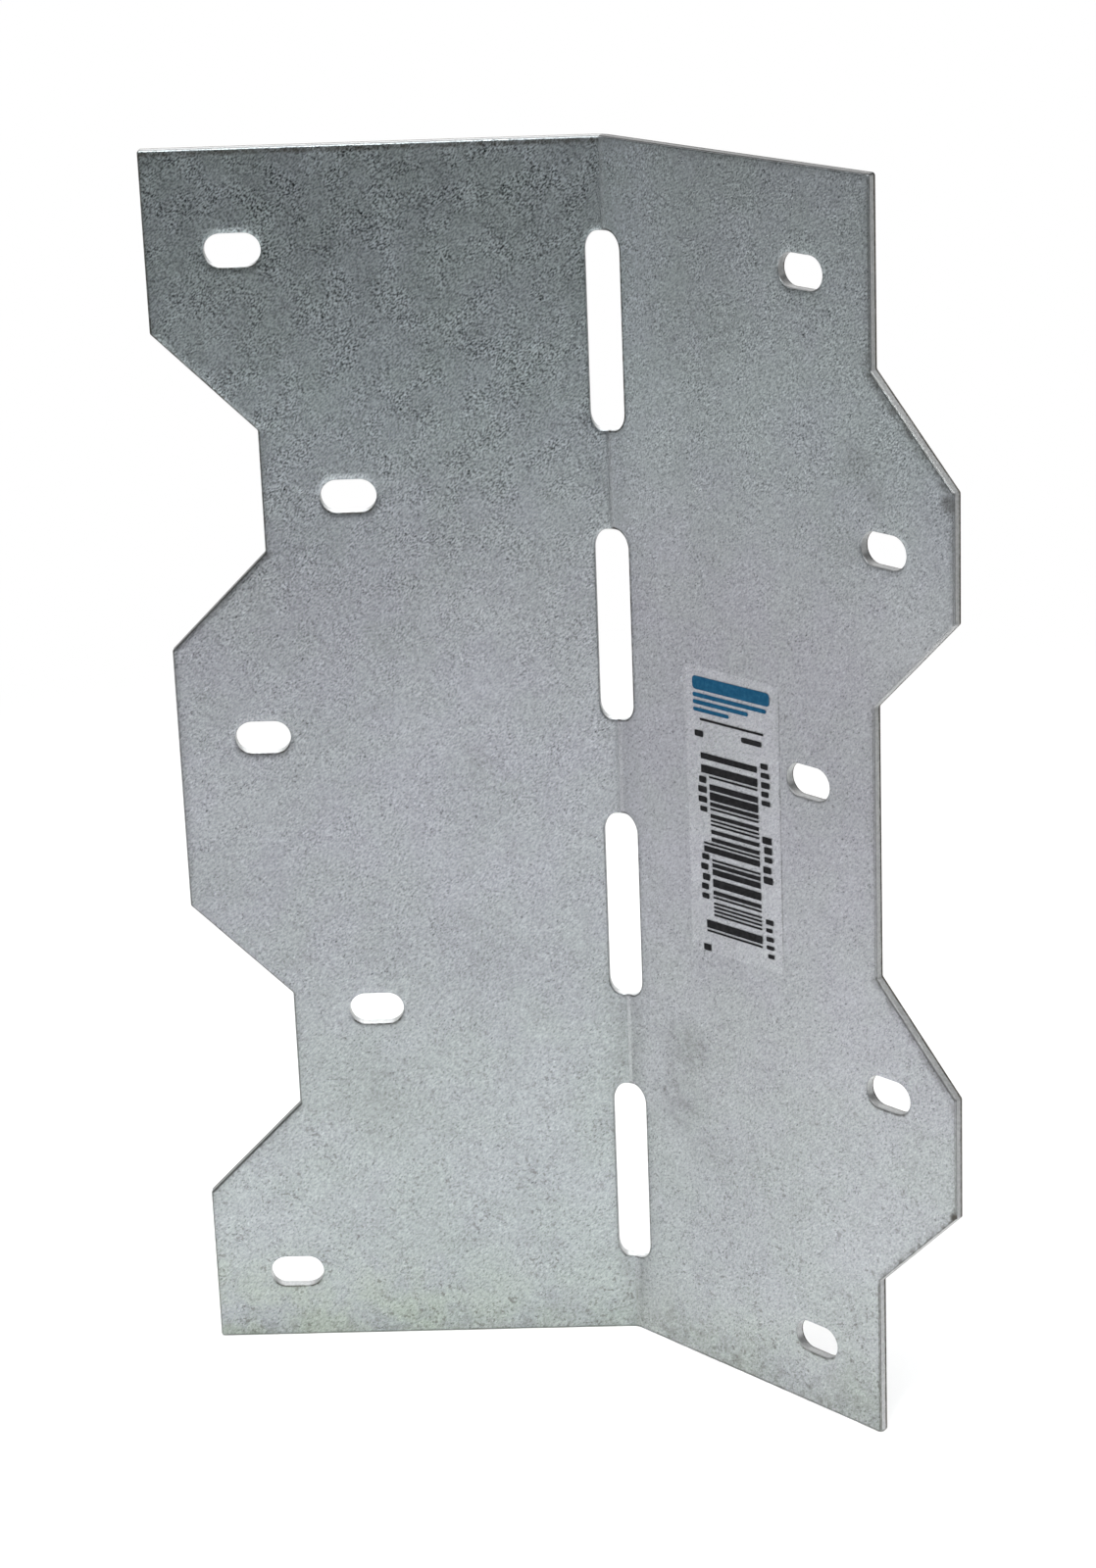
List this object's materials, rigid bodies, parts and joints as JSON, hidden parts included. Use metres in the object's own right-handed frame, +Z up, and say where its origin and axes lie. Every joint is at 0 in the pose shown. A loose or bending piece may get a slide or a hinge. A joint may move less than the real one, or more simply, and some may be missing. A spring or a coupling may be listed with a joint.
{
  "type": "angle bracket",
  "caption": "Sheet-steel framing angle folded to an obtuse corner, with stepped free edges, obround nail holes, and slots along the fold so that it can be bent on site.",
  "frame": {"origin": "foot of the heel: the lower end of the line where the planes of the two back faces meet", "axes": "+Z up along the fold; +Y out of leg A's back face; leg A runs along -X from the heel and leg B along +X and -Y; the nailing side is towards -Y"},
  "size_m": [0.0975, 0.0411, 0.1619],
  "materials": {
    "zinc_steel": "matte grey hot-dip zinc, fine grain",
    "label_film": "thin clear satin film with dark and blue print"
  },
  "bodies": {
    "root": {"angle_bracket": "zinc_steel", "adhesive_label": "label_film"}
  },
  "joints": []
}
